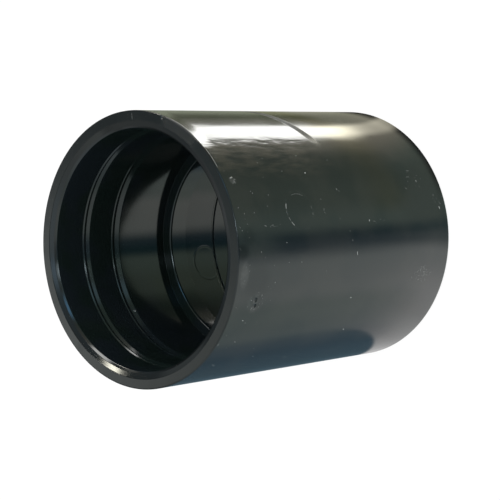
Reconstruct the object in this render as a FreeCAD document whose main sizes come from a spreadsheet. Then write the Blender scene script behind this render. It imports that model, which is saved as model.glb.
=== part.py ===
import FreeCAD, Part
import math
import os
import Sketcher

# Straight pipe coupling, moulded in one piece: a plain sleeve with the same socket in each end
# and a stop ring between them. The sleeve stands on one end, with its axis along +Z and the
# middle of that end at the origin. The body is drawn about its own middle plane and lifted by
# half its length, so both sockets come from one drawing.

doc = FreeCAD.newDocument("pipe_coupling")

# Sizes in millimetres

SIZES = [
    ("pipe_radius", 25.0, "outside of the pipe that the sockets take"),
    ("pipe_wall", 2.0, "wall of that pipe, which the stop ring covers"),
    ("root_clearance", 0.1, "room around the pipe at the bottom of a socket, per side"),
    ("land_rise", 0.3, "growth in radius from one land of a socket to the next"),
    ("sleeve_wall", 3.8, "wall of the sleeve around a socket's widest land"),
    ("socket_depth", 33.9, "from the end of the sleeve to the stop ring"),
    ("stop_width", 5.0, "length of the stop ring along the axis"),
    ("mouth_land_depth", 9.4, "from the end to the first land's inner end"),
    ("middle_land_depth", 18.1, "from the end to the second land's inner end"),
    ("lead_length", 1.7, "length of the rounded lead onto a narrower land"),
    ("lead_rise", 0.15, "rise of that rounded lead"),
    ("mouth_bevel_width", 1.5, "bevel at the mouth, along the end face"),
    ("mouth_bevel_depth", 0.8, "bevel at the mouth, along the axis"),
    ("rim_round", 0.3, "rounding of the sleeve's outer edges"),
    ("stop_round", 0.4, "rounding of the stop ring's inner edges"),
    ("root_fillet", 0.25, "fillet in the corner where a socket meets the stop ring"),
]

sizes = doc.addObject("Spreadsheet::Sheet", "sizes")
row = 1
for word, value, note in SIZES:
    sizes.set(f"A{row}", word)
    sizes.set(f"B{row}", str(value))
    sizes.set(f"C{row}", note)
    sizes.setAlias(f"B{row}", word)
    row = row + 1
doc.recompute()

# Radii, and heights over the middle plane, that follow from the sizes

STOP_BORE = "sizes.pipe_radius - sizes.pipe_wall"
ROOT_BORE = "sizes.pipe_radius + sizes.root_clearance"
MIDDLE_BORE = f"{ROOT_BORE} + sizes.land_rise"
MOUTH_BORE = f"{MIDDLE_BORE} + sizes.land_rise"
MOUTH_RIM = f"{MOUTH_BORE} + sizes.mouth_bevel_width"
OUTER_RADIUS = f"{MOUTH_BORE} + sizes.sleeve_wall"
STOP_TOP = "sizes.stop_width / 2"
SLEEVE_TOP = f"{STOP_TOP} + sizes.socket_depth"
MOUTH_EDGE = f"{SLEEVE_TOP} - sizes.mouth_bevel_depth"
MOUTH_LAND_END = f"{SLEEVE_TOP} - sizes.mouth_land_depth"
MIDDLE_LAND_TOP = f"{MOUTH_LAND_END} - sizes.lead_length"
MIDDLE_LAND_END = f"{SLEEVE_TOP} - sizes.middle_land_depth"
ROOT_LAND_TOP = f"{MIDDLE_LAND_END} - sizes.lead_length"


def number(expression):
    """The present value of an expression over the sizes."""
    return float(sizes.evalExpression(expression))


def origin_feature(body, role):
    """A plane or axis of the body's own origin, found by its role."""
    return [item for item in body.Origin.OriginFeatures if item.Role == role][0]


def section_sketch(body, name):
    """An empty sketch in the plane that holds the sleeve's axis."""
    sketch = body.newObject("Sketcher::SketchObject", name)
    sketch.AttachmentSupport = [(origin_feature(body, "XZ_Plane"), "")]
    sketch.MapMode = "FlatFace"
    return sketch


def corner(radius, height):
    """A point of a section: its distance from the axis and its height over the middle."""
    return FreeCAD.Vector(number(radius), number(height), 0)


def bind(sketch, kind, geometry, end, expression):
    """Measures one corner from the axis or from the middle plane, by an expression."""
    index = sketch.addConstraint(Sketcher.Constraint(kind, -1, 1, geometry, end, number(expression)))
    sketch.setExpression(f"Constraints[{index}]", expression)


def circles_at(shape, places):
    """The names of the round edges that lie at the given radii and heights."""
    names = []
    for index, edge in enumerate(shape.Edges, start=1):
        if not isinstance(edge.Curve, Part.Circle):
            continue
        for radius, height in places:
            right_radius = abs(edge.Curve.Radius - radius) < 1e-4
            right_height = abs(edge.Curve.Center.z - height) < 1e-4
            if right_radius and right_height:
                names.append(f"Edge{index}")
    return names


# Body of the coupling

coupling = doc.addObject("PartDesign::Body", "coupling")
coupling.Label = "coupling"

# Sleeve: a plain tube with the bore of the stop ring

sleeve_section = section_sketch(coupling, "sleeve_section")
sleeve_corners = [
    corner(STOP_BORE, f"-({SLEEVE_TOP})"),
    corner(OUTER_RADIUS, f"-({SLEEVE_TOP})"),
    corner(OUTER_RADIUS, SLEEVE_TOP),
    corner(STOP_BORE, SLEEVE_TOP),
]
for index in range(4):
    line = Part.LineSegment(sleeve_corners[index], sleeve_corners[(index + 1) % 4])
    sleeve_section.addGeometry(line, False)
for index in range(4):
    sleeve_section.addConstraint(Sketcher.Constraint("Coincident", index, 2, (index + 1) % 4, 1))
for index in (0, 2):
    sleeve_section.addConstraint(Sketcher.Constraint("Horizontal", index))
for index in (1, 3):
    sleeve_section.addConstraint(Sketcher.Constraint("Vertical", index))
bind(sleeve_section, "DistanceX", 3, 1, STOP_BORE)
bind(sleeve_section, "DistanceX", 1, 1, OUTER_RADIUS)
bind(sleeve_section, "DistanceY", 2, 1, SLEEVE_TOP)
bind(sleeve_section, "DistanceY", 0, 1, f"-({SLEEVE_TOP})")

sleeve = coupling.newObject("PartDesign::Revolution", "sleeve")
sleeve.Profile = sleeve_section
sleeve.ReferenceAxis = (sleeve_section, ["V_Axis"])
sleeve.Angle = 360
sleeve_section.Visibility = False

# Socket: three lands that narrow inwards, each with a rounded lead, and a bevel at the mouth

socket_section = section_sketch(coupling, "socket_section")
LEAD_RADIUS = "(sizes.lead_length ^ 2 + sizes.lead_rise ^ 2) / (2 * sizes.lead_rise)"
stretches = {}


def straight(name, start, end):
    """Adds a straight stretch of the section between two corners."""
    line = Part.LineSegment(corner(*start), corner(*end))
    stretches[name] = socket_section.addGeometry(line, False)


def lead(name, bore, top, bottom):
    """Adds a rounded lead, an arc from its widest point at the top down to a land's full bore."""
    centre = corner(f"{bore} + {LEAD_RADIUS}", bottom)
    widest = corner(f"{bore} + sizes.lead_rise", top)
    circle = Part.Circle(centre, FreeCAD.Vector(0, 0, 1), number(LEAD_RADIUS))
    turn_start = (widest - centre).getAngle(FreeCAD.Vector(1, 0, 0))
    arc = Part.ArcOfCircle(circle, turn_start, math.pi)
    stretches[name] = socket_section.addGeometry(arc, False)


def meet(first, first_end, second, second_end, kind="Coincident"):
    """Lets two stretches meet at the given ends, where 1 is a start and 2 an end."""
    ends = (stretches[first], first_end, stretches[second], second_end)
    socket_section.addConstraint(Sketcher.Constraint(kind, *ends))


straight("shoulder", ("0", STOP_TOP), (ROOT_BORE, STOP_TOP))
straight("root_land", (ROOT_BORE, STOP_TOP), (ROOT_BORE, ROOT_LAND_TOP))
lead("root_lead", ROOT_BORE, MIDDLE_LAND_END, ROOT_LAND_TOP)
straight("root_step", (f"{ROOT_BORE} + sizes.lead_rise", MIDDLE_LAND_END), (MIDDLE_BORE, MIDDLE_LAND_END))
straight("middle_land", (MIDDLE_BORE, MIDDLE_LAND_END), (MIDDLE_BORE, MIDDLE_LAND_TOP))
lead("middle_lead", MIDDLE_BORE, MOUTH_LAND_END, MIDDLE_LAND_TOP)
straight("middle_step", (f"{MIDDLE_BORE} + sizes.lead_rise", MOUTH_LAND_END), (MOUTH_BORE, MOUTH_LAND_END))
straight("mouth_land", (MOUTH_BORE, MOUTH_LAND_END), (MOUTH_BORE, MOUTH_EDGE))
straight("bevel", (MOUTH_BORE, MOUTH_EDGE), (MOUTH_RIM, SLEEVE_TOP))
straight("end_plane", (MOUTH_RIM, SLEEVE_TOP), ("0", SLEEVE_TOP))
straight("axis", ("0", SLEEVE_TOP), ("0", STOP_TOP))

meet("shoulder", 2, "root_land", 1)
meet("root_land", 2, "root_lead", 2, "Tangent")
meet("root_lead", 1, "root_step", 1)
meet("root_step", 2, "middle_land", 1)
meet("middle_land", 2, "middle_lead", 2, "Tangent")
meet("middle_lead", 1, "middle_step", 1)
meet("middle_step", 2, "mouth_land", 1)
meet("mouth_land", 2, "bevel", 1)
meet("bevel", 2, "end_plane", 1)
meet("end_plane", 2, "axis", 1)
meet("axis", 2, "shoulder", 1)
for name in ("shoulder", "root_step", "middle_step", "end_plane"):
    socket_section.addConstraint(Sketcher.Constraint("Horizontal", stretches[name]))
for name in ("root_land", "middle_land", "mouth_land", "axis"):
    socket_section.addConstraint(Sketcher.Constraint("Vertical", stretches[name]))
socket_section.addConstraint(Sketcher.Constraint("PointOnObject", stretches["axis"], 1, -2))

bind(socket_section, "DistanceY", stretches["shoulder"], 1, STOP_TOP)
bind(socket_section, "DistanceX", stretches["root_land"], 1, ROOT_BORE)
bind(socket_section, "DistanceY", stretches["root_land"], 2, ROOT_LAND_TOP)
bind(socket_section, "DistanceX", stretches["root_lead"], 1, f"{ROOT_BORE} + sizes.lead_rise")
bind(socket_section, "DistanceY", stretches["root_lead"], 1, MIDDLE_LAND_END)
bind(socket_section, "DistanceX", stretches["middle_land"], 1, MIDDLE_BORE)
bind(socket_section, "DistanceY", stretches["middle_land"], 2, MIDDLE_LAND_TOP)
bind(socket_section, "DistanceX", stretches["middle_lead"], 1, f"{MIDDLE_BORE} + sizes.lead_rise")
bind(socket_section, "DistanceY", stretches["middle_lead"], 1, MOUTH_LAND_END)
bind(socket_section, "DistanceX", stretches["mouth_land"], 1, MOUTH_BORE)
bind(socket_section, "DistanceY", stretches["mouth_land"], 2, MOUTH_EDGE)
bind(socket_section, "DistanceX", stretches["bevel"], 2, MOUTH_RIM)
bind(socket_section, "DistanceY", stretches["bevel"], 2, SLEEVE_TOP)

upper_socket = coupling.newObject("PartDesign::Groove", "upper_socket")
upper_socket.Profile = socket_section
upper_socket.ReferenceAxis = (socket_section, ["V_Axis"])
upper_socket.Angle = 360
socket_section.Visibility = False

lower_socket = coupling.newObject("PartDesign::Mirrored", "lower_socket")
lower_socket.Originals = [upper_socket]
lower_socket.MirrorPlane = (origin_feature(coupling, "XY_Plane"), [""])
coupling.Tip = lower_socket
doc.recompute()

# Roundings: the sleeve's outer edges, the stop ring's inner edges and the sockets' corners

half_length = number(SLEEVE_TOP)
half_stop = number(STOP_TOP)


def rounding(name, radius_size, places, base):
    """A fillet on the round edges at the given places, with its radius from the sizes."""
    fillet = coupling.newObject("PartDesign::Fillet", name)
    fillet.Base = (base, circles_at(base.Shape, places))
    fillet.setExpression("Radius", f"sizes.{radius_size}")
    doc.recompute()
    return fillet


outer = number(OUTER_RADIUS)
rims = rounding("rims", "rim_round", [(outer, half_length), (outer, -half_length)], lower_socket)
bore = number(STOP_BORE)
stop_edges = rounding("stop_edges", "stop_round", [(bore, half_stop), (bore, -half_stop)], rims)
root = number(ROOT_BORE)
root_corners = rounding("root_corners", "root_fillet", [(root, half_stop), (root, -half_stop)], stop_edges)
coupling.Tip = root_corners

coupling.Placement = FreeCAD.Placement(FreeCAD.Vector(0, 0, half_length), FreeCAD.Rotation())
coupling.setExpression("Placement.Base.z", SLEEVE_TOP)
doc.recompute()

# Check of every object, then the file

for item in doc.Objects:
    if "Invalid" in item.State or "Error" in item.State:
        raise RuntimeError(f"{item.Name} did not build: {item.State}")
    if hasattr(item, "Shape") and item.TypeId.startswith("PartDesign::"):
        if item.Shape.isNull() or not item.Shape.isValid():
            raise RuntimeError(f"{item.Name} has no valid shape")
if len(coupling.Shape.Solids) != 1:
    raise RuntimeError("the coupling is not one solid")

os.makedirs("parts", exist_ok=True)
coupling.Shape.exportStep("parts/coupling.step")
print("coupling:", round(coupling.Shape.Volume / 1000, 2), "cm3")
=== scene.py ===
"""Looks of a straight pipe coupling: one sleeve of glossy black plastic, seen into its mouth.

All lengths in the classes are millimetres and all angles degrees; the meshes are in metres. A
bearing is the angle round the coupling, 0 on its -Y side and growing towards +X. A height is over
its lower end, and for a direction it is the angle over the horizon.
"""

import logging
import math
from collections.abc import Sequence
from dataclasses import dataclass
from enum import Enum

import bpy
import numpy as np
from mathutils import Matrix, Vector


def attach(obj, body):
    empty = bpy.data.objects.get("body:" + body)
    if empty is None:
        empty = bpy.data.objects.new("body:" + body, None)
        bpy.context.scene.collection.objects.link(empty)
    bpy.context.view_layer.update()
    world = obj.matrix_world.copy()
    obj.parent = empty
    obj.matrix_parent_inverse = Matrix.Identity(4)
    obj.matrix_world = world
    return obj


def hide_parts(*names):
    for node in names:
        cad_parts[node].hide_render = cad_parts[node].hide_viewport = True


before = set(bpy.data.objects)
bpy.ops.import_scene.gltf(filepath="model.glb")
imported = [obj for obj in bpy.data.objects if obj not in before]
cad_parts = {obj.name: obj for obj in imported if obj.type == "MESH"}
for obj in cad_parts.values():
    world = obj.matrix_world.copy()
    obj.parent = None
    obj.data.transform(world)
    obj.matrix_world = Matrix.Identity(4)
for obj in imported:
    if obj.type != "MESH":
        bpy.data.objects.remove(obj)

LOG = logging.getLogger("coupling")
MM = 0.001
PER_METRE = 1000.0
DEGREES = 180.0 / math.pi
# what the ramps' colours are divided by, because they end at 1; the shaders multiply it back
GAIN = 1.6

Socket = bpy.types.NodeSocket
Colour = tuple[float, float, float]
Point = tuple[float, float]
Place = tuple[float, float, float]
# start and end of a smooth change, and what it goes from and to where that isn't 0 and 1
Fade = tuple[float, ...]
# an angle and the tone at it
Tone = tuple[float, Colour]
Link = Socket | float | Colour

WHITE: Colour = (1.0, 1.0, 1.0)
ORIGIN: Place = (0.0, 0.0, 0.0)


class Step(Enum):
    """Arithmetic on numbers or vectors."""

    ADD = "ADD"
    SUBTRACT = "SUBTRACT"
    MULTIPLY = "MULTIPLY"
    DIVIDE = "DIVIDE"
    ARCSINE = "ARCSINE"
    ARCCOSINE = "ARCCOSINE"
    ARCTAN2 = "ARCTAN2"
    ABSOLUTE = "ABSOLUTE"
    MAXIMUM = "MAXIMUM"
    MINIMUM = "MINIMUM"
    EXPONENT = "EXPONENT"
    DOT = "DOT_PRODUCT"


class Zone(Enum):
    """Places on the coupling with a finish of their own, by material index."""

    OUTSIDE = 0
    END = 1
    BORE = 2
    BEVEL = 3


@dataclass(frozen=True)
class Wiring:
    """Adds nodes to one tree and links them, so that a shader reads as a formula."""

    tree: bpy.types.NodeTree

    def node(self, kind: str, **settings: object) -> bpy.types.Node:
        """Adds a node.

        Args:
            kind: The node's type name.
            **settings: Properties of the node to set.

        Returns:
            The new node.
        """
        made = self.tree.nodes.new(kind)
        for name, value in settings.items():
            setattr(made, name, value)
        return made

    def feed(self, socket: Socket, source: Link) -> None:
        """Links a socket to another one's output, or sets it.

        Args:
            socket: The input to fill.
            source: An output socket, a number or a colour.
        """
        if isinstance(source, Socket):
            self.tree.links.new(source, socket)
        elif isinstance(source, tuple) and socket.type == "RGBA":
            socket.default_value = (*source, 1.0)
        else:
            socket.default_value = source

    def out(self, kind: str, output: int | str, *sources: Link | None, **settings: object) -> Socket:
        """Adds a node and feeds its inputs.

        Args:
            kind: The node's type name.
            output: The output that is wanted.
            *sources: What goes into each input, in order; None leaves one as it is.
            **settings: Properties of the node to set.

        Returns:
            The output's socket.
        """
        made = self.node(kind, **settings)
        for socket, source in zip(made.inputs, sources):
            if source is not None:
                self.feed(socket, source)
        return made.outputs[output]

    def sum(self, step: Step, first: Link, second: Link = 0.0) -> Socket:
        """Does one step of arithmetic; second counts where the step has one."""
        return self.out("ShaderNodeMath", 0, first, second, operation=step.value)

    def plus(self, first: Link, second: Link) -> Socket:
        """Adds two numbers."""
        return self.sum(Step.ADD, first, second)

    def minus(self, first: Link, second: Link) -> Socket:
        """Subtracts the second number from the first."""
        return self.sum(Step.SUBTRACT, first, second)

    def times(self, first: Link, second: Link) -> Socket:
        """Multiplies two numbers."""
        return self.sum(Step.MULTIPLY, first, second)

    def more(self, total: Link, mask: Link, share: float) -> Link:
        """Adds a share of a mask to a total, where there is a share."""
        return self.plus(total, self.times(mask, share)) if share else total

    def off(self, value: Link, line: Link) -> Socket:
        """Distance of a number from a line."""
        return self.sum(Step.ABSOLUTE, self.minus(value, line))

    def vectors(self, step: Step, first: Link, second: Link) -> Socket:
        """Does one step of arithmetic on two vectors."""
        output = 1 if step is Step.DOT else 0
        return self.out("ShaderNodeVectorMath", output, first, second, operation=step.value)

    def scaled(self, vector: Link, factor: Link) -> Socket:
        """Multiplies a vector by a number."""
        return self.out("ShaderNodeVectorMath", 0, vector, None, None, factor, operation="SCALE")

    def length(self, vector: Link) -> Socket:
        """Length of a vector."""
        return self.out("ShaderNodeVectorMath", 1, vector, operation="LENGTH")

    def ease(self, value: Link, start: Link, end: Link, low: Link = 0.0, high: Link = 1.0) -> Socket:
        """Goes smoothly from low to high while value goes from start to end."""
        sources = (value, start, end, low, high)
        return self.out("ShaderNodeMapRange", 0, *sources, interpolation_type="SMOOTHSTEP")

    def within(self, value: Link, fades: Sequence[Fade]) -> Socket:
        """Product of two smooth changes of one value."""
        return self.times(self.ease(value, *fades[0]), self.ease(value, *fades[1]))

    def blend(self, factor: Link, first: Link, second: Link, way: str = "MIX") -> Socket:
        """Mixes two colours by the share of the second, or adds that share of it with the way ADD."""
        settings = {"data_type": "RGBA", "blend_type": way, "clamp_factor": way == "MIX"}
        return self.out("ShaderNodeMix", 2, factor, *[None] * 5, first, second, **settings)

    def either(self, factor: Link, first: Socket, second: Socket) -> Socket:
        """Mixes two shaders by the share of the second."""
        return self.out("ShaderNodeMixShader", 0, factor, first, second)

    def noise(self, place: Link, scale: float, detail: float = 2.0) -> Socket:
        """Clouds of 0 to 1 at so many per metre."""
        return self.out("ShaderNodeTexNoise", "Fac", place, None, scale, detail, noise_dimensions="3D")

    def toned(self, angle: Link, tones: Sequence[Tone], low: float, high: float) -> Socket:
        """Looks a tone up by an angle, smoothly joined between the stops.

        Args:
            angle: The angle.
            tones: The stops, in order.
            low: First angle of the ramp, where the first stop is.
            high: Last angle of the ramp.

        Returns:
            The tone's socket, with the gain left out.
        """
        share = self.sum(Step.DIVIDE, self.minus(angle, low), high - low)
        made = self.node("ShaderNodeValToRGB")
        made.color_ramp.interpolation = "EASE"
        elements = made.color_ramp.elements
        while len(elements) > 1:
            elements.remove(elements[-1])
        elements[0].color = (*dimmed(tones[0][1]), 1.0)
        for stop, tone in tones[1:]:
            elements.new((stop - low) / (high - low)).color = (*dimmed(tone), 1.0)
        self.feed(made.inputs["Fac"], share)
        return made.outputs["Color"]

    def joined(self, x: Link, y: Link, z: Link) -> Socket:
        """Vector of three numbers."""
        return self.out("ShaderNodeCombineXYZ", 0, x, y, z)

    def parts_of(self, vector: Socket) -> tuple[Socket, ...]:
        """Splits a vector into its x, y and z."""
        made = self.node("ShaderNodeSeparateXYZ")
        self.feed(made.inputs[0], vector)
        return tuple(made.outputs)

    def bearing(self, x: Link, y: Link) -> Socket:
        """Bearing of a place: atan2(x, -y)."""
        return self.times(self.sum(Step.ARCTAN2, x, self.times(y, -1.0)), DEGREES)


def dimmed(tone: Colour) -> Colour:
    """A tone with the gain left out."""
    return tuple(v / GAIN for v in tone)


def round_axis(bearing: float, radius: float, height: float) -> Place:
    """Place at a bearing and distance from the axis: (r sin b, -r cos b, h)."""
    b = math.radians(bearing)
    return (radius * math.sin(b), -radius * math.cos(b), height)


def new_group(
    name: str, inputs: dict[str, float | Place], outputs: Sequence[str]
) -> tuple[Wiring, bpy.types.NodeOutputs]:
    """Starts a shader node group with named inputs and outputs.

    Args:
        name: The group's name.
        inputs: First value of each input by name, three of them for a vector.
        outputs: Name of each output, all of them numbers.

    Returns:
        Wiring of the new group's tree, and the inputs inside it.
    """
    tree = bpy.data.node_groups.new(name, "ShaderNodeTree")
    for label, first in inputs.items():
        kind = "NodeSocketVector" if isinstance(first, tuple) else "NodeSocketFloat"
        tree.interface.new_socket(label, in_out="INPUT", socket_type=kind).default_value = first
    for label in outputs:
        tree.interface.new_socket(label, in_out="OUTPUT", socket_type="NodeSocketFloat")
    w = Wiring(tree)
    return w, w.node("NodeGroupInput").outputs


def cleared(owner: bpy.types.Material | bpy.types.World) -> Wiring:
    """Empties the tree of a material or a world, and gives its wiring."""
    owner.use_nodes = True
    owner.node_tree.nodes.clear()
    return Wiring(owner.node_tree)


def placed(name: str, data: bpy.types.ID) -> bpy.types.Object:
    """Makes an object and links it to the scene."""
    made = bpy.data.objects.new(name, data)
    bpy.context.scene.collection.objects.link(made)
    return made


def new_piece(name: str, spots: np.ndarray, faces: np.ndarray) -> bpy.types.Object:
    """Makes a smooth mesh of four-cornered faces and links it to the scene.

    Args:
        name: The piece's name.
        spots: Rows of x, y and z.
        faces: Rows of four indices into them.

    Returns:
        The piece.
    """
    mesh = bpy.data.meshes.new(name)
    mesh.vertices.add(len(spots))
    mesh.vertices.foreach_set("co", (spots * MM).astype(np.float32).ravel())
    mesh.loops.add(faces.size)
    mesh.loops.foreach_set("vertex_index", faces.astype(np.int32).ravel())
    mesh.polygons.add(len(faces))
    mesh.polygons.foreach_set("loop_start", (np.arange(len(faces)) * 4).astype(np.int32))
    mesh.update(calc_edges=True)
    mesh.validate()
    mesh.polygons.foreach_set("use_smooth", np.ones(len(faces), dtype=bool))
    return placed(name, mesh)


# ---------------------------------------------------------------- view and surroundings


@dataclass(frozen=True)
class PhotoView:
    """Camera that stands where the photograph was taken from."""

    eye: Place = (-1.9616, -248.5656, 312.1135)
    right: Place = (-0.084417, -0.739598, -0.667734)
    up: Place = (0.996431, -0.062658, -0.056570)
    lens: float = 117.634
    film: float = 36.0
    clip: Point = (10.0, 20000.0)

    def build(self) -> None:
        """Makes the camera and gives it to the scene."""
        data = bpy.data.cameras.new("photo_view")
        data.lens, data.sensor_width = self.lens, self.film
        data.clip_start, data.clip_end = (v * MM for v in self.clip)
        camera = placed("photo_view", data)
        right, up = Vector(self.right).normalized(), Vector(self.up).normalized()
        back = right.cross(up).normalized()
        turn = Matrix((right, back.cross(right), back)).transposed()
        camera.matrix_world = Matrix.Translation(Vector(self.eye) * MM) @ turn.to_4x4()
        bpy.context.scene.camera = camera
        LOG.info("camera placed")


@dataclass(frozen=True)
class Glow:
    """A soft round patch of light in the surroundings; a tone below 0 takes light away."""

    bearing: float
    height: float
    core: float
    reach: float
    tone: Colour

    def direction(self) -> Place:
        """Unit vector from the coupling to the patch: (sin b cos h, -cos b cos h, sin h)."""
        h = math.radians(self.height)
        return round_axis(self.bearing, math.cos(h), math.sin(h))


@dataclass(frozen=True)
class Strip:
    """Upright strip light with a gap, its middle at the bearing b + lean (h + foot) less a bend."""

    bearing: float = 109.0
    lean: float = 0.19
    foot: float = 46.0
    bend: Fade = (-20.0, 30.0, 0.0, 22.0)
    edge: Fade = (5.5, 12.5, 1.0, 0.0)
    top: Fade = (46.0, 54.0, 1.0, 0.0)
    gap: tuple[Fade, Fade] = ((-36.0, -27.0), (3.0, 11.0, 1.0, 0.0))
    tone: Colour = (7.5, 7.5, 7.35)

    def mask(self, w: Wiring, bearing: Socket, height: Socket) -> Socket:
        """Where the strip is.

        Args:
            w: Wiring of the world.
            bearing: Bearing of the direction.
            height: Height of the direction.

        Returns:
            Its mask.
        """
        middle = w.plus(w.times(height, self.lean), self.bearing + self.foot * self.lean)
        middle = w.minus(middle, w.ease(height, *self.bend))
        strip = w.times(w.ease(w.off(bearing, middle), *self.edge), w.ease(height, *self.top))
        return w.times(strip, w.minus(1.0, w.within(height, self.gap)))


@dataclass(frozen=True)
class FloorFinish:
    """White floor that keeps a soft shadow, and what the gloss sees of it.

    The gloss sees the room through it, except close to the coupling, where the floor gives light.
    On the left this light fades outwards and ends at the bound y = level + rise exp((start + x) /
    length). On the right the strip light lies on it as a stripe, at a bearing that grows with the
    distance from the axis, and the room seen through it turns warmer towards the coupling. A far
    patch gives light too.
    """

    name: str = "floor_white"
    tones: tuple[Tone, ...] = (
        (-180.0, (0.60, 0.62, 0.62)), (-100.0, (0.80, 0.80, 0.80)), (-70.0, (0.86, 0.86, 0.86)),
        (-50.0, (1.10, 1.12, 1.11)), (-29.0, (1.52, 1.55, 1.53)), (-13.0, (1.32, 1.40, 1.38)),
        (-5.0, (0.45, 0.55, 0.56)), (0.0, (0.20, 0.33, 0.34)), (6.0, (0.40, 0.54, 0.47)),
        (35.0, (0.30, 0.40, 0.33)), (60.0, (0.70, 0.66, 0.52)), (90.0, (0.40, 0.40, 0.30)),
        (180.0, (0.60, 0.62, 0.62)),
    )
    # level, rise, start and length
    bound: tuple[float, float, float, float] = (-18.5, 16.5, 30.9, 5.5)
    bound_edge: Fade = (-1.5, 1.5, 1.0, 0.0)
    full_until: float = 34.0
    fades_over: float = 12.0
    right_edge: Fade = (37.0, 45.0, 1.0, 0.0)
    left_to_right: Fade = (-3.0, 8.0)
    inner_edge: Fade = (27.0, 28.0)
    foot_shade: Fade = (29.8, 31.8, 0.9, 0.0)
    foot_side: Fade = (8.0, 26.0)
    stripe_bearing: float = 28.4
    stripe_turn: float = 1.1
    stripe_edge: Fade = (3.0, 9.0, 1.0, 0.0)
    stripe_reach: Fade = (33.0, 46.0, 0.18, 1.0)
    stripe_tone: Colour = (5.2, 4.9, 3.9)
    patch_reach: tuple[Fade, Fade] = ((80.0, 86.0), (95.0, 99.0, 1.0, 0.0))
    patch_bearing: float = -4.0
    patch_edge: Fade = (7.0, 10.0, 0.85, 0.0)
    patch_tone: Colour = (0.36, 0.52, 0.47)
    warm_side: Fade = (5.0, 15.0)
    warm_edge: Fade = (44.0, 54.0, 1.0, 0.0)
    warm: Colour = (1.0, 0.94, 0.76)
    # inside the coupling's hole the room seen through the floor is dimmed on one side: painted shade in the
    # gloss
    hole_edge: Fade = (26.0, 27.5)
    hole_side: Fade = (11.0, 27.0)
    hole_tones: tuple[Colour, Colour] = ((0.95, 0.90, 0.87), (0.30, 0.30, 0.30))
    paper: Colour = (0.8, 0.8, 0.8)
    paper_share: float = 0.12
    glow: float = 1.07

    def _mirrored(self, w: Wiring) -> Socket:
        """What the gloss sees of it.

        Args:
            w: Wiring of the material.

        Returns:
            The shader.
        """
        place = w.scaled(w.node("ShaderNodeTexCoord").outputs["Object"], PER_METRE)
        x, y, _ = w.parts_of(place)
        bearing, radius = w.bearing(x, y), w.length(place)

        level, rise, start, length = self.bound
        fall = w.sum(Step.EXPONENT, w.sum(Step.DIVIDE, w.plus(x, start), length))
        bound = w.plus(w.times(fall, rise), level)
        close = w.sum(Step.EXPONENT, w.sum(Step.DIVIDE, w.minus(self.full_until, radius), self.fades_over))
        left = w.times(w.ease(w.minus(y, bound), *self.bound_edge), w.sum(Step.MINIMUM, close, 1.0))
        near = w.blend(w.ease(x, *self.left_to_right), left, w.ease(radius, *self.right_edge))
        near = w.times(near, w.ease(radius, *self.inner_edge))
        patch = w.off(bearing, self.patch_bearing)
        patch = w.times(w.within(radius, self.patch_reach), w.ease(patch, *self.patch_edge))

        shut = w.times(w.ease(radius, *self.foot_shade), w.ease(bearing, *self.foot_side))
        tone = w.scaled(w.toned(bearing, self.tones, -180.0, 180.0), w.minus(1.0, shut))
        off = w.off(bearing, w.plus(w.times(radius, self.stripe_turn), self.stripe_bearing))
        stripe = w.times(w.ease(off, *self.stripe_edge), w.ease(radius, *self.stripe_reach))
        tone = w.blend(stripe, tone, dimmed(self.stripe_tone), "ADD")
        tone = w.blend(patch, tone, dimmed(self.patch_tone))
        light = w.out("ShaderNodeEmission", 0, tone, GAIN)

        warm = w.times(w.ease(x, *self.warm_side), w.ease(radius, *self.warm_edge))
        hole = w.blend(w.ease(w.plus(x, y), *self.hole_side), *self.hole_tones)
        through = w.blend(w.ease(radius, *self.hole_edge), hole, w.blend(warm, WHITE, self.warm))
        clear = w.out("ShaderNodeBsdfTransparent", 0, through)
        return w.either(w.sum(Step.MAXIMUM, near, patch), clear, light)

    def make(self) -> bpy.types.Material:
        """Makes the material.

        Returns:
            The material.
        """
        finish = bpy.data.materials.new(self.name)
        w = cleared(finish)
        path = w.node("ShaderNodeLightPath").outputs
        paper = w.out("ShaderNodeBsdfDiffuse", 0, self.paper)
        white = w.out("ShaderNodeEmission", 0, WHITE, self.glow)
        seen = w.either(path["Is Camera Ray"], paper, w.either(self.paper_share, white, paper))
        choice = w.either(path["Is Glossy Ray"], seen, self._mirrored(w))
        w.feed(w.node("ShaderNodeOutputMaterial").inputs["Surface"], choice)
        return finish


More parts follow.
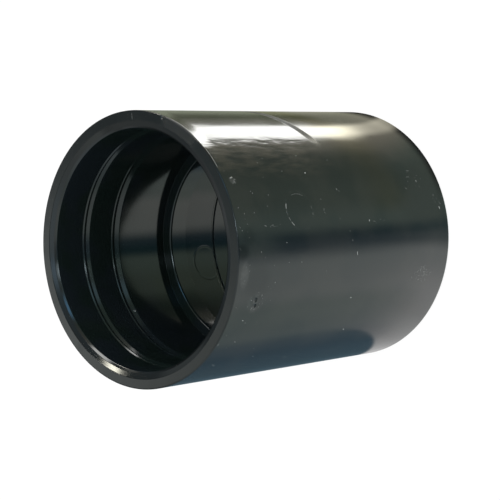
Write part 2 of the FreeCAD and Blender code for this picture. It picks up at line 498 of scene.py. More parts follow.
@dataclass(frozen=True)
class Surroundings:
    """Room round the coupling: soft light, what its gloss mirrors, and a white floor."""

    floor_size: float = 6000.0
    lamp_place: Place = (350.0, -250.0, 900.0)
    lamp_target: Place = (0.0, 0.0, 40.0)
    lamp_size: float = 900.0
    lamp_power: float = 2.2
    strip: Strip = Strip()
    # share of the room above the horizon: by the distance from the front, and by the height
    side_share: Fade = (95.0, 125.0, 0.25, 1.0)
    horizon: Fade = (-30.0, -12.0)
    overhead: Fade = (50.0, 68.0)
    tint_sides: Fade = (-0.04, 0.035)
    tints: tuple[Colour, Colour] = ((1.2, 1.2, 1.2), (0.39, 0.49, 0.53))
    # between the depths of a first reflection and of a later one
    first_bounce: Fade = (1.2, 1.8)
    later_share: float = 0.2
    low_room: tuple[Tone, ...] = (
        (-180.0, (0.14, 0.20, 0.24)), (-150.0, (0.08, 0.14, 0.18)), (-116.0, (0.12, 0.21, 0.28)),
        (-103.0, (0.21, 0.31, 0.38)), (-88.0, (0.48, 0.60, 0.60)), (-64.0, (0.68, 0.83, 0.79)),
        (-48.0, (1.02, 1.13, 1.10)), (-24.0, (1.05, 1.18, 1.15)), (-8.0, (0.13, 0.23, 0.29)),
        (-1.0, (0.06, 0.16, 0.20)), (10.0, (0.45, 0.62, 0.54)), (36.0, (0.34, 0.45, 0.36)),
        (60.0, (0.24, 0.32, 0.25)), (72.0, (0.27, 0.33, 0.26)), (90.0, (0.70, 0.70, 0.56)),
        (126.0, (0.45, 0.45, 0.35)), (138.0, (0.18, 0.20, 0.13)), (152.0, (0.35, 0.38, 0.28)),
        (180.0, (0.30, 0.33, 0.28)),
    )
    high_room: tuple[Tone, ...] = (
        (-90.0, (0.30, 0.34, 0.36)), (-12.0, (0.07, 0.08, 0.08)), (2.0, (0.07, 0.08, 0.08)),
        (12.0, (0.34, 0.37, 0.38)), (15.5, (0.15, 0.16, 0.16)), (21.0, (0.12, 0.15, 0.16)),
        (32.0, (0.24, 0.27, 0.27)), (41.5, (0.31, 0.34, 0.33)), (43.3, (0.22, 0.25, 0.24)),
        (45.0, (0.33, 0.37, 0.36)), (46.5, (0.52, 0.58, 0.55)), (60.0, (0.42, 0.47, 0.47)),
        (74.0, (0.60, 0.74, 0.80)), (90.0, (0.50, 0.60, 0.64)),
    )
    glows: tuple[Glow, ...] = (
        Glow(-177.0, 39.5, 2.0, 8.0, (1.12, 1.18, 1.15)),
        Glow(147.6, 48.6, 1.5, 3.5, (29.0, 28.0, 23.5)),
        Glow(16.0, 54.5, 1.5, 8.0, (2.6, 3.2, 3.6)),
        Glow(166.0, 75.0, 1.0, 5.0, (0.8, 1.1, 1.4)),
        Glow(13.0, 41.0, 2.0, 8.0, (12.0, 14.5, 16.0)),
        Glow(116.0, 10.0, 3.0, 8.0, (15.0, 14.2, 12.4)),
        Glow(124.0, 17.5, 3.0, 9.0, (0.8, 0.8, 0.7)),
        Glow(52.0, 47.0, 3.0, 12.0, (0.8, 2.3, 4.0)),
        Glow(-105.0, 28.0, 12.0, 34.0, (0.42, 0.46, 0.46)),
        Glow(163.0, 27.0, 5.0, 10.0, (0.21, 0.23, 0.22)),
        Glow(36.0, 34.0, 3.0, 13.0, (0.32, 0.58, 0.80)),
        Glow(176.3, 47.2, 0.6, 2.4, (-0.20, -0.22, -0.22)),
    )

    def build(self) -> None:
        """Makes the room's light, the floor and the lamp."""
        self._light_room()
        self._lay_floor()
        self._hang_lamp()

    def _light_room(self) -> None:
        """Even light for the coupling's own colour, and a dim room with a strip light for its gloss.

        The room's tone is looked up by the bearing below the horizon and by the height above it.
        """
        world = bpy.data.worlds.new("studio")
        w = cleared(world)
        place = w.node("ShaderNodeTexCoord").outputs["Generated"]
        x, y, z = w.parts_of(place)
        bearing, height = w.bearing(x, y), w.times(w.sum(Step.ARCSINE, z), DEGREES)
        low = w.toned(bearing, self.low_room, -180.0, 180.0)
        high = w.toned(height, self.high_room, -90.0, 90.0)
        high = w.vectors(Step.MULTIPLY, high, w.blend(w.ease(x, *self.tint_sides), *self.tints))
        sides = w.ease(w.sum(Step.ABSOLUTE, bearing), *self.side_share)
        above = w.times(w.ease(height, *self.horizon), sides)
        tone = w.blend(w.sum(Step.MAXIMUM, above, w.ease(height, *self.overhead)), low, high)
        for glow in self.glows:
            dot = w.vectors(Step.DOT, place, glow.direction())
            away = w.times(w.sum(Step.ARCCOSINE, dot), DEGREES)
            tone = w.blend(w.ease(away, glow.core, glow.reach, 1.0, 0.0), tone, dimmed(glow.tone), "ADD")
        path = w.node("ShaderNodeLightPath").outputs
        first = w.ease(path["Glossy Depth"], *self.first_bounce, 1.0, 0.0)
        strip = w.times(self.strip.mask(w, bearing, height), first)
        tone = w.blend(strip, tone, dimmed(self.strip.tone), "ADD")
        tone = w.scaled(tone, w.ease(path["Glossy Depth"], *self.first_bounce, 1.0, self.later_share))
        plain = w.out("ShaderNodeBackground", 0, WHITE, 1.0)
        choice = w.either(path["Is Glossy Ray"], plain, w.out("ShaderNodeBackground", 0, tone, GAIN))
        w.feed(w.node("ShaderNodeOutputWorld").inputs["Surface"], choice)
        bpy.context.scene.world = world
        LOG.info("world lit")

    def _lay_floor(self) -> None:
        """Lays a flat sheet under the coupling, a grid of two by two places at height 0."""
        corners = np.array([(-0.5, -0.5, 0.0), (0.5, -0.5, 0.0), (0.5, 0.5, 0.0), (-0.5, 0.5, 0.0)])
        floor = new_piece("floor", corners * self.floor_size, np.arange(4)[None, :])
        floor.data.materials.append(FloorFinish().make())
        LOG.info("floor laid")

    def _hang_lamp(self) -> None:
        """Hangs one large soft lamp that gives the floor its shadow and doesn't mirror in the gloss."""
        data = bpy.data.lights.new("soft_lamp", "AREA")
        data.shape, data.size, data.energy = "DISK", self.lamp_size * MM, self.lamp_power
        lamp = placed("soft_lamp", data)
        back = Vector(self.lamp_place) - Vector(self.lamp_target)
        turn = back.to_track_quat("Z", "Y").to_matrix().to_4x4()
        lamp.matrix_world = Matrix.Translation(Vector(self.lamp_place) * MM) @ turn
        lamp.visible_glossy = False
        LOG.info("lamp hung")


# ---------------------------------------------------------------- finishes


def axial_flow() -> bpy.types.NodeTree:
    """Group: long shallow waves that run along the axis, as plastic leaves them in a mould.

    The height is noise on the place with its z shortened, so its lines follow the axis, in two
    sizes, each with its own share.

    Returns:
        The group's tree.
    """
    broad, thin, thin_share = 260.0, 1500.0, 0.12
    w, inside = new_group("axial_flow", {"Place": ORIGIN, "Fine": 1.0, "Stretch": 0.1}, ("Height",))
    x, y, z = w.parts_of(inside["Place"])
    place = w.joined(x, y, w.times(z, inside["Stretch"]))
    waves = w.times(w.times(w.noise(place, thin), thin_share), inside["Fine"])
    w.feed(w.node("NodeGroupOutput").inputs["Height"], w.plus(w.noise(place, broad, 1.0), waves))
    return w.tree


def loose_dust() -> bpy.types.NodeTree:
    """Group: thinly strewn grains of dust, as a mask.

    Each grain is the middle of a cell; only cells whose own random number is high hold one.

    Returns:
        The group's tree.
    """
    per_metre, smallest, spread, core = 400.0, 0.07, 0.10, 0.6
    w, inside = new_group("loose_dust", {"Place": ORIGIN, "Share": 0.05}, ("Mask",))
    cells = w.node("ShaderNodeTexVoronoi", voronoi_dimensions="3D", feature="F1")
    w.feed(cells.inputs["Vector"], inside["Place"])
    w.feed(cells.inputs["Scale"], per_metre)
    own, size, _ = w.parts_of(cells.outputs["Color"])
    chosen = w.ease(own, w.minus(1.0, inside["Share"]), w.minus(1.001, inside["Share"]))
    edge = w.plus(w.times(size, spread), smallest)
    grain = w.ease(cells.outputs["Distance"], w.times(edge, core), edge, 1.0, 0.0)
    w.feed(w.node("NodeGroupOutput").inputs["Mask"], w.times(grain, chosen))
    return w.tree


def round_spot() -> bpy.types.NodeTree:
    """Group: a soft round spot, and its outline.

    The distance is the length of (Place - Centre) times Squash; the spot fades out as it goes
    from 0.4 of Reach to Reach, and the outline is where it is close to 0.9 of Reach.

    Returns:
        The group's tree.
    """
    core, line, line_width = 0.4, 0.9, 0.09
    inputs = {"Place": ORIGIN, "Centre": ORIGIN, "Squash": WHITE, "Reach": 0.001}
    w, inside = new_group("round_spot", inputs, ("Mask", "Outline"))
    away = w.vectors(Step.SUBTRACT, inside["Place"], inside["Centre"])
    away = w.length(w.vectors(Step.MULTIPLY, away, inside["Squash"]))
    share = w.sum(Step.DIVIDE, away, inside["Reach"])
    out = w.node("NodeGroupOutput").inputs
    w.feed(out["Mask"], w.ease(share, core, 1.0, 1.0, 0.0))
    w.feed(out["Outline"], w.ease(w.off(share, line), 0.0, line_width, 1.0, 0.0))
    return w.tree


@dataclass(frozen=True)
class Spot:
    """A small place that is pale, dull, raised or dark; grain is how much grit breaks the pale up."""

    bearing: float
    height: float
    radius: float
    reach: float
    squash: Place = (1.0, 1.0, 1.0)
    pale: float = 0.0
    dull: float = 0.0
    lift: float = 0.0
    outline: bool = False
    grain: float = 1.0
    # dark blacks out the spot's gloss with a metal share: painted shade
    dark: float = 0.0

    def centre(self) -> Place:
        """Its middle in metres."""
        return round_axis(self.bearing, self.radius * MM, self.height * MM)


@dataclass(frozen=True)
class Streaks:
    """Short uneven streaks along the axis on one side, where the rim also flares a little; their brown tone
    is painted sheen, the light band's glow scattered along them.
    """

    relief: float = 0.085
    stretch: float = 0.26
    scale: float = 800.0
    detail: float = 2.5
    sides: tuple[Fade, Fade] = ((20.0, 32.0), (42.0, 50.0, 1.0, 0.14))
    upper: Fade = (34.0, 48.0, 0.15, 1.0)
    flare_height: Fade = (68.8, 75.6)
    flare_side: Fade = (32.0, 42.0, 0.0, 0.36)
    # brown tone of the streaks: painted sheen beside the light band
    brown_sides: tuple[Fade, Fade] = ((22.0, 34.0), (44.0, 50.0, 1.0, 0.0))
    brown_grit: Fade = (0.34, 0.66)
    brown: Colour = (0.032, 0.029, 0.023)

    def build(self, w: Wiring, place: Socket) -> tuple[Socket, Socket]:
        """Adds the streaks to a material.

        Args:
            w: Wiring of the material.
            place: Object coordinates.

        Returns:
            Their height, in millimetres, and how brown they are.
        """
        x, y, z = w.parts_of(place)
        noise = w.noise(w.joined(x, y, w.times(z, self.stretch)), self.scale, self.detail)
        bearing, height = w.bearing(x, y), w.times(z, PER_METRE)
        upper = w.ease(height, *self.upper)
        streaked = w.times(w.times(noise, self.relief), w.times(w.within(bearing, self.sides), upper))
        flare = w.times(w.ease(height, *self.flare_height), w.ease(bearing, *self.flare_side))
        brown = w.times(w.within(bearing, self.brown_sides), upper)
        return w.plus(streaked, flare), w.times(brown, w.ease(noise, *self.brown_grit))


@dataclass(frozen=True)
class Seam:
    """Dull seam line round one side of the middle, at a height that rises with the bearing, with painted
    shade that darkens the highlight along it.
    """

    height: float = 31.15
    rise: float = 0.122
    edge: Fade = (0.60, 1.5, 1.0, 0.0)
    sides: tuple[Fade, Fade] = ((39.0, 50.0, 0.0, 0.84), (78.0, 105.0, 1.0, 0.0))
    dull: float = 0.47

    def mask(self, w: Wiring, place: Socket) -> Socket:
        """Where the line is.

        Args:
            w: Wiring of the material.
            place: Object coordinates.

        Returns:
            Its mask.
        """
        x, y, z = w.parts_of(place)
        bearing = w.bearing(x, y)
        off = w.off(w.times(z, PER_METRE), w.plus(w.times(bearing, self.rise), self.height))
        return w.times(w.ease(off, *self.edge), w.within(bearing, self.sides))


@dataclass(frozen=True)
class BlackPlastic:
    """Glossy black plastic as it leaves the mould, in clouds of two tones, with painted shade and sheen
    where its spots, seam and streaks call for them.
    """

    name: str
    base: Colour = (0.0080, 0.0092, 0.0096)
    other: Colour = (0.0080, 0.0092, 0.0096)
    cloud_scale: float = 90.0
    cloud_tones: Fade = (0.42, 0.60)
    cloud_gloss: Fade = (0.35, 0.75)
    roughness: float = 0.12
    smudge: float = 0.05
    wave: float = 0.020
    fine: float = 1.0
    stretch: float = 0.10
    streaks: Streaks | None = None
    seam: Seam | None = None
    rings: float = 0.0
    ring_scale: float = 2600.0
    dusty: Colour = (0.30, 0.31, 0.30)
    dust_share: float = 0.0
    dust_cover: float = 0.8
    grit_scale: float = 800.0
    grit: Fade = (0.34, 0.66)
    spots: tuple[Spot, ...] = ()
    ior: float = 1.5

    def make(self, groups: dict[str, bpy.types.NodeTree]) -> bpy.types.Material:
        """Makes the material.

        Args:
            groups: The shared effects by name.

        Returns:
            The material.
        """
        finish = bpy.data.materials.new(self.name)
        w = cleared(finish)
        place = w.node("ShaderNodeTexCoord").outputs["Object"]
        flow = w.out("ShaderNodeGroup", 0, place, self.fine, self.stretch, node_tree=groups["flow"])
        height = w.times(flow, self.wave)
        cloud = w.noise(place, self.cloud_scale, 4.0)
        rough = w.ease(cloud, *self.cloud_gloss, self.roughness, self.roughness + self.smudge)
        colour = w.blend(w.ease(cloud, *self.cloud_tones), self.base, self.other)
        # metallic share over the near-black base, which blacks out the gloss: painted shade along the seam
        # and at dark spots
        painted_shade: Link = 0.0

        if self.dust_share:
            dust = w.out("ShaderNodeGroup", 0, place, self.dust_share, node_tree=groups["dust"])
            grain = w.times(dust, self.dust_cover)
            colour = w.blend(grain, colour, self.dusty)
            rough = w.sum(Step.MAXIMUM, rough, grain)
        if self.streaks:
            streaked, brown = self.streaks.build(w, place)
            height = w.plus(height, streaked)
            # the streaks' brown: painted sheen
            colour = w.blend(brown, colour, self.streaks.brown)
        if self.rings:
            x, y, z = w.parts_of(place)
            sources = (None, w.minus(w.length(w.joined(x, y, 0.0)), z), self.ring_scale, 2.0)
            turned = w.out("ShaderNodeTexNoise", "Fac", *sources, noise_dimensions="1D")
            height = w.more(height, turned, self.rings)
        if self.seam:
            painted_shade = self.seam.mask(w, place)
            rough = w.more(rough, painted_shade, self.seam.dull)
        broken = w.ease(w.noise(place, self.grit_scale, 3.0), *self.grit)
        for spot in self.spots:
            sources = (place, spot.centre(), spot.squash, spot.reach * MM)
            mask = w.out("ShaderNodeGroup", int(spot.outline), *sources, node_tree=groups["spot"])
            if spot.pale:
                share = w.ease(broken, 0.0, 1.0, spot.pale * (1.0 - spot.grain), spot.pale)
                colour = w.blend(w.times(mask, share), colour, self.dusty)
            rough = w.more(rough, mask, spot.dull)
            painted_shade = w.more(painted_shade, mask, spot.dark)
            height = w.more(height, mask, spot.lift)

        bump = w.node("ShaderNodeBump")
        bump.inputs["Distance"].default_value = MM
        w.feed(bump.inputs["Height"], height)
        sources = (colour, painted_shade, rough, self.ior, None, bump.outputs["Normal"])
        shade = w.out("ShaderNodeBsdfPrincipled", 0, *sources)
        w.feed(w.node("ShaderNodeOutputMaterial").inputs["Surface"], shade)
        return finish


@dataclass(frozen=True)
class RubbedAndHighlight:
    """Pale plastic dust and burrs of rubbed places, and a painted highlight on the rim; the mesh says how
    pale each one is.
    """

    name: str = "rubbed_plastic_and_highlight"
    dark: Colour = (0.010, 0.012, 0.012)
    pale: Colour = (0.62, 0.65, 0.63)
    roughness: float = 0.55
    grit_scale: float = 5000.0
    grit: Fade = (0.3, 0.6, 0.6, 1.0)

    def make(self) -> bpy.types.Material:
        """Makes the material from the mesh's attribute pale, 0 to 1.

        Returns:
            The material.
        """
        finish = bpy.data.materials.new(self.name)
        w = cleared(finish)
        own = w.node("ShaderNodeAttribute", attribute_name="pale").outputs["Fac"]
        place = w.node("ShaderNodeTexCoord").outputs["Object"]
        share = w.times(own, w.ease(w.noise(place, self.grit_scale), *self.grit))
        colour = w.blend(share, self.dark, self.pale)
        shade = w.out("ShaderNodeBsdfPrincipled", 0, colour, None, self.roughness)
        w.feed(w.node("ShaderNodeOutputMaterial").inputs["Surface"], shade)
        return finish


RIM_RUB = Spot(56.0, 72.8, 29.4, 6.5, (1.0, 1.0, 8.0), dull=0.40)
# dimple with two pits, whose darkness is painted shade; darker patches near the rim, painted shade in the
# gloss; smear, dull rim, round scuff, scrape
OUTSIDE_SPOTS = (
    Spot(-25.5, 66.0, 29.5, 2.4, lift=-0.06),
    Spot(-25.5, 66.0, 29.5, 2.8, pale=0.07, dull=0.06),
    # the dark share of the two pits blacks out their gloss: painted shade in the pits
    Spot(-24.4, 66.1, 29.5, 0.62, lift=-0.24, dull=0.1, dark=0.85),
    Spot(-26.9, 65.9, 29.5, 0.50, lift=-0.20, dull=0.1, dark=0.80),
    # dark shares of the next three spots: painted shade in the gloss near the rim
    Spot(-4.5, 71.6, 29.5, 2.2, (1.0, 1.0, 0.8), dark=0.40),
    Spot(1.5, 69.4, 29.5, 2.6, dark=0.16),
    Spot(-17.0, 66.5, 29.5, 5.0, dark=0.10),
    Spot(-13.5, 70.7, 29.5, 3.6, (1.0, 1.0, 2.2), pale=0.10, dull=0.04, grain=0.35),
    RIM_RUB,
    Spot(10.7, 52.4, 29.5, 4.7, pale=0.022, outline=True),
    Spot(24.6, 69.9, 29.5, 1.3, pale=0.10, dull=0.1),
)
# pale stroke, nick, dull rim, smear
END_SPOTS = (
    Spot(85.0, 72.8, 28.2, 0.9, (1.0, 6.0, 1.0), pale=0.55, dull=0.2),
    Spot(67.0, 72.8, 29.3, 0.7, lift=-0.25, dull=0.2),
    RIM_RUB,
    Spot(-135.0, 72.8, 28.0, 3.0, (1.0, 2.0, 1.0), pale=0.02, dull=0.05),
)
# round outline, a small pale bright speck, a crumb
BORE_SPOTS = (
    Spot(-170.5, 25.4, 25.1, 4.5, lift=-0.045, outline=True),
    Spot(-148.0, 53.9, 25.3, 0.38, pale=1.0, dull=0.3),
    Spot(-173.5, 64.2, 25.5, 0.40, pale=0.5),
)


# ---------------------------------------------------------------- the coupling


@dataclass(frozen=True)
class Corner:
    """One corner of the section, from the axis and the middle plane, and the zone after it."""

    radius: float
    height: float
    rounding: float = 0.0
    zone: Zone = Zone.BORE


@dataclass(frozen=True)
class Ledge:
    """Step onto a narrower land: a raised lip, a crease below it and a slope down to the land.

    The depth says how far the crease is cut behind the land above; the rest is along the axis.
    """

    lip: float
    depth: float
    crease: float
    slope: float
    lip_lean: float = 0.9
    roof_lean: float = 0.92
    undercut: float = 0.12
    roundings: tuple[float, ...] = (0.06, 0.03, 0.02, 0.03, 0.25)

    def corners(self, wide: float, narrow: float, top: float) -> list[Corner]:
        """Its corners, from the top down.

        Args:
            wide: Radius of the land above.
            narrow: Radius of the land below.
            top: Height where the lip starts.

        Returns:
            The corners.
        """
        tip, floor, low = wide - self.lip_lean * self.lip, wide + self.depth, top - self.lip
        end = low - self.roof_lean * (floor - tip) - self.crease
        crease = ((floor, low - self.undercut), (floor, end))
        places = ((wide, top), (tip, low), *crease, (narrow, end - self.slope))
        return [Corner(*place, rounding) for place, rounding in zip(places, self.roundings)]


@dataclass(frozen=True)
class Coupling:
    """The sleeve: two sockets with a stop ring between them, turned from one section.

    Pairs give the size at the upper end, which the photograph looks into, and at the lower end.
    """

    half_length: float = 36.4
    outer_radius: float = 29.48
    rim_rounds: Point = (0.26, 0.8)
    bevel: tuple[Point, ...] = ((27.32, 36.4), (27.29, 36.30), (26.2, 35.955), (25.7, 35.54))
    bevel_rounds: tuple[float, ...] = (0.05, 0.03, 0.12, 0.28)
    mouth_bore: float = 25.7
    middle_bore: float = 25.4
    root_bore: float = 25.1
    root_spread: float = 0.34
    root_round: float = 0.04
    stop_bore: float = 23.0
    stop_half: float = 2.5
    stop_rounds: Point = (0.52, 0.06)
    mouth_land_end: float = 27.95
    middle_land_ends: Point = (19.4, 15.0)
    mouth_ledge: Ledge = Ledge(0.28, 0.20, 0.50, 0.66)
    middle_ledges: tuple[Ledge, Ledge] = (Ledge(0.22, 0.36, 0.62, 0.86), Ledge(0.10, 0.19, 0.42, 0.60))
    sides: int = 320
    longest: float = 2.6
    shortest: float = 0.35
    guard: float = 0.06
    arc_step: float = 13.0
    sink: float = 0.004
    sink_width: float = 1.1
    waves: Point = (0.006, 0.004)
    inset: float = 0.01
    finishes: tuple[BlackPlastic, ...] = (
        BlackPlastic(
            "black_outside", other=(0.0135, 0.0140, 0.0132), streaks=Streaks(), seam=Seam(),
            spots=OUTSIDE_SPOTS,
        ),
        BlackPlastic("black_end", wave=0.008, stretch=1.0, spots=END_SPOTS),
        # the bore's blue-green base tones are painted light: the tint the inside takes from the room, on the
        # same plastic as the outside
        BlackPlastic(
            "black_bore", (0.0075, 0.0130, 0.0118), (0.0088, 0.0132, 0.0160), roughness=0.09, wave=0.015,
            fine=0.4, dust_share=0.006, spots=BORE_SPOTS,
        ),
        BlackPlastic("black_bevel", roughness=0.08, wave=0.004, rings=0.009),
    )

    def build(self) -> None:
        """Makes the sleeve's mesh and dresses it."""
        groups = {"flow": axial_flow(), "dust": loose_dust(), "spot": round_spot()}
        points, zones = self._section()
        piece = self._turned("coupling_shell", points, zones)
        for finish in self.finishes:
            piece.data.materials.append(finish.make(groups))
        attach(piece, "root")
        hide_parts("coupling")
        LOG.info("sleeve: %d faces of four corners", len(piece.data.polygons))

    def _half(self, end: int) -> list[Corner]:
        """Corners of one half's section, from the outside over the rim down to the middle.

        Args:
            end: 0 for the upper half and 1 for the lower one.

        Returns:
            The corners.
        """
        zones = (Zone.BEVEL, Zone.BEVEL, Zone.BEVEL, Zone.BORE)
        bevel = zip(self.bevel, self.bevel_rounds, zones)
        return [
            Corner(self.outer_radius, self.half_length, self.rim_rounds[end], Zone.END),
            *(Corner(*place, rounding, zone) for place, rounding, zone in bevel),
            *self.mouth_ledge.corners(self.mouth_bore, self.middle_bore, self.mouth_land_end),
            *self.middle_ledges[end].corners(self.middle_bore, self.root_bore, self.middle_land_ends[end]),
            Corner(self.root_bore + self.root_spread, self.stop_half, self.root_round),
            Corner(self.stop_bore, self.stop_half, self.stop_rounds[end]),
        ]

    def _section(self) -> tuple[np.ndarray, np.ndarray]:
        """Closed section of the whole sleeve with every corner rounded.

        Each corner with a rounding becomes an arc that touches both its sides; long stretches
        are divided, with a point close to each end so that they stay flat beside an arc.

        Returns:
            Points as rows of radius and height over the middle, and the zone after each.
        """
        upper = self._half(0)
        lower = [Corner(c.radius, -c.height, c.rounding) for c in reversed(self._half(1))]
        ring = upper + lower
        # a mirrored corner comes after its stretch, so the lower half takes its neighbours' zones
        zones_after = [c.zone for c in upper]
        zones_after += [*zones_after[-2::-1], Zone.OUTSIDE]
        spots = np.array([(c.radius, c.height) for c in ring])
        before, after = np.roll(spots, 1, axis=0), np.roll(spots, -1, axis=0)
        arcs = [self._arc(*places, c.rounding) for *places, c in zip(before, spots, after, ring)]
        points, zones = [], []
        for arc, following, zone in zip(arcs, arcs[1:] + arcs[:1], zones_after):
            points += [arc, self._run(arc[-1], following[0])]
            zones.append(np.full(len(points[-2]) + len(points[-1]), zone.value))
        return np.concatenate(points), np.concatenate(zones)

    def _arc(self, before: np.ndarray, spot: np.ndarray, after: np.ndarray, rounding: float) -> np.ndarray:
        """Arc that rounds one corner: its centre lies on the bisector, and it touches both sides.

        Args:
            before: The corner before.
            spot: The corner.
            after: The corner after.
            rounding: The arc's radius, made smaller where a side is too short for it.

        Returns:
            Points along the arc.
        """
        longest_share = 0.45
        back, on = np.linalg.norm(before - spot), np.linalg.norm(after - spot)
        a, b = (before - spot) / back, (after - spot) / on
        half = math.acos(float(np.clip(a @ b, -1, 1))) / 2
        reach = min(rounding / math.tan(half), longest_share * min(back, on))
        radius = reach * math.tan(half)
        centre = spot + (a + b) / np.linalg.norm(a + b) * (radius / math.sin(half))
        first, last = spot + a * reach - centre, spot + b * reach - centre
        sweep = math.acos(float(np.clip(first @ last / radius**2, -1, 1)))
        steps = max(3, int(round(sweep / math.radians(self.arc_step))) + 1)
        t = np.linspace(0.0, 1.0, steps)[:, None]
        return centre + (np.sin((1 - t) * sweep) * first + np.sin(t * sweep) * last) / math.sin(sweep)

    def _run(self, start: np.ndarray, end: np.ndarray) -> np.ndarray:
        """Inner points of a straight stretch between two arcs.

        Args:
            start: Where it leaves the arc before.
            end: Where it meets the arc after.

        Returns:
            The points, one close to each end and the rest evenly between.
        """
        length = float(np.linalg.norm(end - start))
        if length < self.shortest:
            return np.empty((0, 2))
        guard = min(self.guard, length * 0.2) / length
        inner = np.linspace(guard, 1 - guard, max(2, int(math.ceil(length / self.longest)) + 1))
        return start + (end - start) * inner[:, None]

    def _relief(self, radius: np.ndarray, height: np.ndarray, angle: np.ndarray) -> np.ndarray:
        """Small radial departures of the outside: a shallow sink over the stop ring, and slow waves.

        The sink is a bell curve of the height over a line that leans a little; the waves are
        products of sines of the angle and the height.

        Args:
            radius: Radius at each grid point.
            height: Height over the middle at each grid point.
            angle: Angle round the axis at each grid point, in radians.

        Returns:
            What to add to the radius.
        """
        outside = (radius > self.outer_radius - 0.01) & (np.abs(height) < self.half_length - 0.4)
        line = 0.7 + 1.2 * np.sin(angle)
        sink = -self.sink * np.exp(-(((height - line) / self.sink_width) ** 2))
        slow = self.waves[0] * np.sin(3 * angle + 0.6) * np.cos(height / 9.0)
        quick = self.waves[1] * np.sin(7 * angle + height / 14.0)
        return np.where(outside, np.minimum(sink + (slow + quick) - self.inset, 0.0), 0.0)

    def _turned(self, name: str, section: np.ndarray, zones: np.ndarray) -> bpy.types.Object:
        """Turns the closed section round the axis: (r sin a, -r cos a, h) for each point and angle.

        Args:
            name: The piece's name.
            section: Rows of radius and height over the middle, all the way round.
            zones: Material index of the stretch after each point.

        Returns:
            The piece, linked to the scene.
        """
        angle = np.arange(self.sides) * (2 * math.pi / self.sides)
        r, a = np.meshgrid(section[:, 0], angle, indexing="ij")
        h, _ = np.meshgrid(section[:, 1], angle, indexing="ij")
        r = r + self._relief(r, h, a)
        spots = np.stack([r * np.sin(a), -r * np.cos(a), h + self.half_length], axis=-1)
        rows, columns = r.shape
        i, j = np.meshgrid(np.arange(rows), np.arange(columns), indexing="ij")
        row, column = i * columns, (j + 1) % columns
        below = (i + 1) % rows * columns
        faces = np.stack([row + j, row + column, below + column, below + j], axis=-1)
        piece = new_piece(name, spots.reshape(-1, 3), faces.reshape(-1, 4))
        piece.data.polygons.foreach_set("material_index", np.repeat(zones, columns).astype(np.int32))
        return piece


@dataclass(frozen=True)
class Mark:
    """A rubbed place on the outside, and in one case a painted highlight on the rim: a narrow lens of pale
    plastic along an arc.

    It starts at a height and bearing and runs on at a heading, 0 up the axis and 90 towards
    growing bearings, which turns by bend for each millimetre.
    """

    height: float
    bearing: float
    heading: float
    length: float
    width: float
    pale: float = 0.5
    bend: float = 0.0


@dataclass(frozen=True)
class Bunch:
    """Small strokes strewn over an oval on the outside, at random headings."""

    height: float
    bearing: float
    half_height: float
    half_width: float
    number: int
    length: float
    width: float
    pale: float
    hollow: float = 0.0

    def strokes(self, draw: np.random.Generator, radius: float) -> list[Mark]:
        """Draws the strokes: each lies the root of a random share of the way out, at a random turn.

        Args:
            draw: Random numbers.
            radius: Radius of the outside.

        Returns:
            The strokes.
        """
        way = np.sqrt(self.hollow + (1.0 - self.hollow) * draw.random(self.number))
        turn = 2 * math.pi * draw.random(self.number)
        heading, bend = 360 * draw.random(self.number), 80 * draw.random(self.number) - 40
        size, tone = 0.4 + 0.8 * draw.random(self.number), 0.4 + 0.8 * draw.random(self.number)
        h = self.height + self.half_height * way * np.cos(turn)
        b = self.bearing + np.degrees(self.half_width * way * np.sin(turn) / radius)
        rows = zip(h, b, heading, self.length * size, self.width * np.sqrt(size), self.pale * tone, bend)
        return [Mark(*map(float, row)) for row in rows]


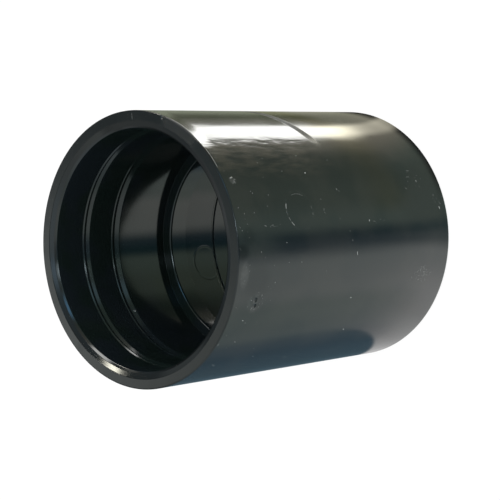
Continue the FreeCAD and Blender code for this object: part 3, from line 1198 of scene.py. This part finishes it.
@dataclass(frozen=True)
class Marks:
    """Everything that is rubbed or stuck onto the outside, and a painted highlight on the rim, as one piece.
    """

    outer_radius: float = 29.5
    radius: float = 29.490
    sunk: float = 29.44
    along: int = 15
    across: int = 5
    lowest: float = 0.4
    highest: float = 72.4
    strewn: int = 46
    strewn_height: float = 72.0
    strewn_near: float = 12.0
    strewn_start: float = -62.0
    strewn_reach: float = 100.0
    strewn_widths: Point = (0.14, 0.22)
    strewn_tones: Point = (0.12, 0.30)
    seed: int = 7
    # round scuff; a pale line along the rim, which is a painted highlight; short scrapes; specks
    marks: tuple[Mark, ...] = tuple(Mark(*row) for row in (
        (56.2, 13.9, 296, 1.4, 0.24, 0.6, -15), (56.65, 11, 270, 1.3, 0.1, 0.18, -15),
        (56.35, 8.1, 248, 1, 0.14, 0.4, -15), (55.8, 6.2, 232, 1.3, 0.19, 0.7, -15),
        # the second mark on the next line, at height 72.4 and bearing 29.6, is a painted highlight: the
        # strip light's reflection in the rim's rounding, drawn as a pale line
        (54.2, 16.8, 158, 4.5, 0.1, 0.2, 12.4), (72.4, 29.6, 90, 6.4, 0.32, 1),
        (48.6, 12.2, 250, 0.8, 0.12, 0.25, 12), (48.4, 9.4, 280, 0.6, 0.16, 0.32),
        (70.5, 25.6, 165, 1, 0.34, 0.42), (69.4, 23.2, 70, 0.8, 0.26, 0.3),
        (70.2, 23, 120, 0.5, 0.2, 0.24), (69, 25, 10, 0.5, 0.16, 0.3),
        (72, -3.9, 60, 0.9, 0.5, 0), (63.6, 4.9, 20, 0.8, 0.2, 0.24),
        (61.4, 5.4, 350, 0.9, 0.16, 0.22), (44.7, 9.4, 110, 0.9, 0.2, 0.28),
        (44.2, 8.6, 30, 0.6, 0.15, 0.24), (38.3, 18.4, 60, 0.5, 0.28, 0.55),
        (37.6, 17.9, 10, 0.4, 0.18, 0.35), (29.9, 4, 120, 0.5, 0.34, 0.8),
        (27.6, 3.8, 10, 0.9, 0.15, 0.22), (34.6, -8.2, 262, 0.9, 0.28, 0.62),
        (11, 26.4, 195, 1.2, 0.15, 0.35, -20), (12.2, 23, 170, 1.4, 0.13, 0.3, 15),
        (8.9, 20.4, 90, 0.6, 0.25, 0.4), (13.5, 17.2, 45, 0.7, 0.15, 0.3),
        (2.9, 7.4, 70, 0.7, 0.34, 0.7), (4.4, 13.4, 120, 0.6, 0.15, 0.3),
        (72.2, -44.8, 90, 0.6, 0.2, 0.4), (56.9, -56, 40, 0.5, 0.2, 0.4),
        (67.9, -33.3, 20, 0.5, 0.26, 0.6), (67, -35, 80, 0.5, 0.15, 0.3),
        (67.8, -59.1, 60, 0.6, 0.24, 0.75), (68.6, -57.8, 20, 0.4, 0.18, 0.45),
        (46.3, 26.9, 0, 0.36, 0.36, 1), (33.9, -28.6, 0, 0.34, 0.34, 0.9),
        (30.8, -46.1, 30, 0.42, 0.34, 0.95), (57.8, -2.1, 0, 0.3, 0.24, 0.45),
        (72.3, -2.5, 0, 0.5, 0.3, 0.5), (53.5, 28, 5, 0.3, 0.2, 0.25),
    ))
    bunches: tuple[Bunch, ...] = (
        Bunch(10.2, -21.2, 3.4, 1.9, 44, 0.9, 0.13, 0.38),
        Bunch(66.0, -25.4, 2.4, 2.3, 16, 0.42, 0.20, 0.30, 0.35),
        Bunch(61.8, 5.4, 2.4, 0.7, 7, 0.26, 0.18, 0.22),
        Bunch(27.3, 4.2, 3.0, 0.6, 6, 0.26, 0.17, 0.24),
        Bunch(3.6, 11.0, 1.6, 2.4, 8, 0.26, 0.18, 0.32),
        Bunch(10.0, 22.0, 3.2, 2.4, 10, 0.36, 0.15, 0.26),
        Bunch(70.6, -13.0, 1.3, 2.6, 5, 0.50, 0.18, 0.22),
        Bunch(70.5, 4.0, 1.8, 5.5, 6, 0.45, 0.16, 0.20),
    )

    def _strewn(self) -> list[Mark]:
        """Small faint grains at random places on the photographed side, closer together near the rim.

        Returns:
            The grains.
        """
        draw = np.random.default_rng(self.seed)
        share = draw.random(self.strewn)
        near = self.strewn_height - self.strewn_near * draw.random(self.strewn) ** 1.5
        heights = np.where(share < 0.5, near, self.strewn_height * share)
        bearings = self.strewn_start + self.strewn_reach * draw.random(self.strewn)
        turns = 360.0 * draw.random(self.strewn)
        sizes, tones = draw.random(self.strewn), draw.random(self.strewn)
        widths = self.strewn_widths[0] + self.strewn_widths[1] * sizes**2
        pales = self.strewn_tones[0] + self.strewn_tones[1] * tones**2
        return [Mark(*map(float, row)) for row in zip(heights, bearings, turns, widths * 1.4, widths, pales)]

    def build(self) -> None:
        """Makes the marks: lens sections, high in the middle and sunk at the sides, along each arc.

        With u along from 0 to 1 and v across from -1 to 1, a point lies off the arc by v times the
        half width times the square root of 1 - (2 u - 1)^4, at a radius that falls from high to
        sunk with v^2, or with (2 u - 1)^6 where that is more.
        """
        draw = np.random.default_rng(self.seed + 1)
        strokes = (m for bunch in self.bunches for m in bunch.strokes(draw, self.outer_radius))
        marks = [*self.marks, *self._strewn(), *strokes]
        height, bearing, heading, length, width, pale, bend = (
            np.array([getattr(m, name) for m in marks])[:, None, None]
            for name in ("height", "bearing", "heading", "length", "width", "pale", "bend")
        )
        u = np.linspace(0.0, 1.0, self.along)[None, :, None]
        v = np.linspace(-1.0, 1.0, self.across)[None, None, :]
        way = np.radians(heading + bend * length * u)
        step = length / (self.along - 1)
        up = np.cumsum(np.cos(way) * step, axis=1) - np.cos(way) * step
        aside = np.cumsum(np.sin(way) * step, axis=1) - np.sin(way) * step
        half = 0.5 * width * np.sqrt(np.clip(1.0 - (2.0 * u - 1.0) ** 4, 0.0, 1.0))
        up = up - np.sin(way) * half * v
        aside = aside + np.cos(way) * half * v
        edge = np.maximum(v**2, (2.0 * u - 1.0) ** 6)
        r = self.radius + (self.sunk - self.radius) * edge
        a = np.radians(bearing) + aside / self.radius
        r, a, h = np.broadcast_arrays(r, a, np.clip(height + up, self.lowest, self.highest))
        spots = np.stack([r * np.sin(a), -r * np.cos(a), h], axis=-1)
        index = np.arange(r.size).reshape(r.shape)
        corners = (index[:, :-1, :-1], index[:, :-1, 1:], index[:, 1:, 1:], index[:, 1:, :-1])
        piece = new_piece("rub_marks_and_highlight", spots.reshape(-1, 3), np.stack(corners, axis=-1).reshape(-1, 4))
        tone = piece.data.attributes.new("pale", "FLOAT", "POINT")
        tone.data.foreach_set("value", np.broadcast_to(pale, r.shape).astype(np.float32).ravel())
        piece.data.materials.append(RubbedAndHighlight().make())
        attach(piece, "root")
        LOG.info("marks: %d", len(marks))


def main() -> None:
    """Builds the view, the surroundings and the coupling."""
    logging.basicConfig(level=logging.INFO, format="%(name)s: %(message)s")
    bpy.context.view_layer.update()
    bpy.context.scene.view_settings.view_transform = "Standard"
    PhotoView().build()
    Surroundings().build()
    Coupling().build()
    Marks().build()


if __name__ == "__main__":
    main()
